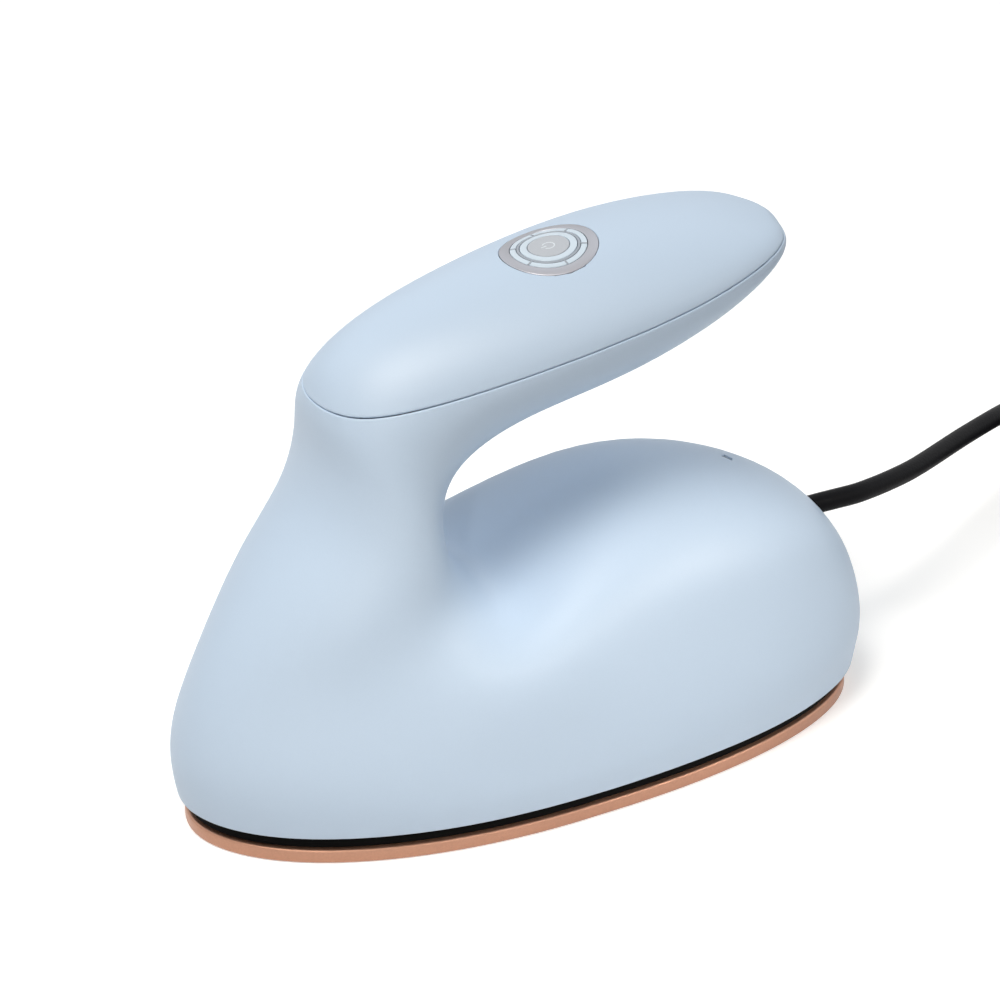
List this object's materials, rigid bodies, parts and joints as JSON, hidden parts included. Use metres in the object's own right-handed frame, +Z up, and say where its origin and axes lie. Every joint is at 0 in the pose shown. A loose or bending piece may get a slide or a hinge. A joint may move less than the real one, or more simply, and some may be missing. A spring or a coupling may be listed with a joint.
{
  "type": "mini craft iron",
  "caption": "Small corded craft press with an egg-shaped flat soleplate, a humped housing and a cantilevered handle with a round push button.",
  "frame": {"origin": "centre of the iron's footprint on the plane of the soleplate's face, cord left out", "axes": "+X towards the rear where the cord leaves, -X towards the neck end, +Z up, away from the soleplate"},
  "size_m": [0.2741, 0.0993, 0.103],
  "materials": {
    "base_frame": "black heat-proof moulding",
    "bezel_ring": "grey blue",
    "board_screw_1": "zinc plated",
    "board_screw_2": "zinc plated",
    "board_tray": "dark moulding",
    "button_cap": "satin pale blue",
    "button_carrier": "plain moulding",
    "button_mark": "grey",
    "capacitor": "dark blue sleeve",
    "carrier_screw_1": "zinc plated",
    "carrier_screw_2": "zinc plated",
    "clamp_screw_1": "zinc plated",
    "clamp_screw_2": "zinc plated",
    "control_board": "green circuit board",
    "control_screw_1": "zinc plated",
    "control_screw_2": "zinc plated",
    "control_socket": "ivory",
    "cord": "black sheath",
    "cord_bush": "black",
    "cord_clamp": "dark moulding",
    "cord_clamp_screw_1": "zinc plated",
    "cord_clamp_screw_2": "zinc plated",
    "cord_coil": "black sheath",
    "cord_inner": "black sheath",
    "cord_tail": "black sheath",
    "handle_cover": "satin pale blue moulding",
    "harness_socket": "ivory",
    "heat_shield": "plain sheet",
    "heater_clamp": "plain sheet",
    "heating_element": "oxidised tube",
    "indicator_lamp": "dark lens",
    "insulation_pad": "fibre wool",
    "led_1": "clear lens",
    "led_2": "clear lens",
    "led_3": "clear lens",
    "led_4": "clear lens",
    "light_ring": "translucent pale blue",
    "main_housing": "satin pale blue moulding",
    "neck_harness": "red sleeve",
    "plug_blade_1": "plain",
    "plug_blade_2": "plain",
    "plug_body": "black",
    "power_board": "green circuit board",
    "power_module": "black potting case",
    "relay": "blue case",
    "sole_screw_1": "zinc plated",
    "sole_screw_2": "zinc plated",
    "sole_screw_3": "zinc plated",
    "sole_screw_4": "zinc plated",
    "soleplate": "copper coloured coating",
    "switch_plunger": "dark grey",
    "tact_switch": "black",
    "temperature_sensor": "plain",
    "terminal_block": "ivory",
    "thermal_fuse": "plain",
    "trim_ring": "satin"
  },
  "bodies": {
    "iron": {"base_frame": "base_frame", "bezel_ring": "bezel_ring", "board_screw_1": "board_screw_1", "board_screw_2": "board_screw_2", "board_tray": "board_tray", "button_carrier": "button_carrier", "capacitor": "capacitor", "carrier_screw_1": "carrier_screw_1", "carrier_screw_2": "carrier_screw_2", "clamp_screw_1": "clamp_screw_1", "clamp_screw_2": "clamp_screw_2", "control_board": "control_board", "control_screw_1": "control_screw_1", "control_screw_2": "control_screw_2", "control_socket": "control_socket", "cord": "cord", "cord_bush": "cord_bush", "cord_clamp": "cord_clamp", "cord_clamp_screw_1": "cord_clamp_screw_1", "cord_clamp_screw_2": "cord_clamp_screw_2", "cord_coil": "cord_coil", "cord_inner": "cord_inner", "cord_tail": "cord_tail", "handle_cover": "handle_cover", "harness_socket": "harness_socket", "heat_shield": "heat_shield", "heater_clamp": "heater_clamp", "heating_element": "heating_element", "indicator_lamp": "indicator_lamp", "insulation_pad": "insulation_pad", "led_1": "led_1", "led_2": "led_2", "led_3": "led_3", "led_4": "led_4", "light_ring": "light_ring", "main_housing": "main_housing", "neck_harness": "neck_harness", "plug_blade_1": "plug_blade_1", "plug_blade_2": "plug_blade_2", "plug_body": "plug_body", "power_board": "power_board", "power_module": "power_module", "relay": "relay", "sole_screw_1": "sole_screw_1", "sole_screw_2": "sole_screw_2", "sole_screw_3": "sole_screw_3", "sole_screw_4": "sole_screw_4", "soleplate": "soleplate", "tact_switch": "tact_switch", "temperature_sensor": "temperature_sensor", "terminal_block": "terminal_block", "thermal_fuse": "thermal_fuse", "trim_ring": "trim_ring"},
    "button": {"button_cap": "button_cap", "button_mark": "button_mark", "switch_plunger": "switch_plunger"}
  },
  "joints": [
    {"name": "button_press", "type": "slide", "parent": "iron", "child": "button", "axis": [0.1045, 0, -0.9945], "range_m": [0, 0.0006], "stiffness_N_per_m": 2500}
  ]
}
